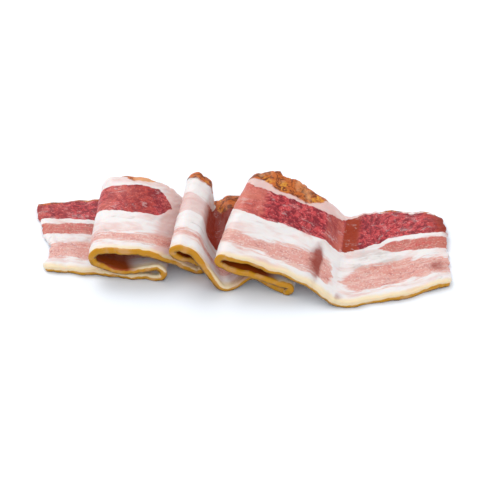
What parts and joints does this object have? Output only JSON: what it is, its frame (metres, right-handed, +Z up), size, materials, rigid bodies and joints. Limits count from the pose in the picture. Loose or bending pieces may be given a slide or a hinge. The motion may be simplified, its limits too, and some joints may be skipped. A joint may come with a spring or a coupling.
{
  "type": "folded bacon rasher",
  "caption": "Long streaky rasher laid in a loose ribbon of folded loops with a flat tail, rind along the near edge.",
  "frame": {"origin": "middle of the box's underside, on the surface that the rasher lies on", "axes": "+X along the folded rasher, from the end under the first loop to the flat tail; +Y from the rind edge to the far edge; +Z up"},
  "size_m": [0.1518, 0.0586, 0.023],
  "materials": {
    "cured_pork": null
  },
  "bodies": {
    "root": {"rasher": "cured_pork"}
  },
  "joints": []
}
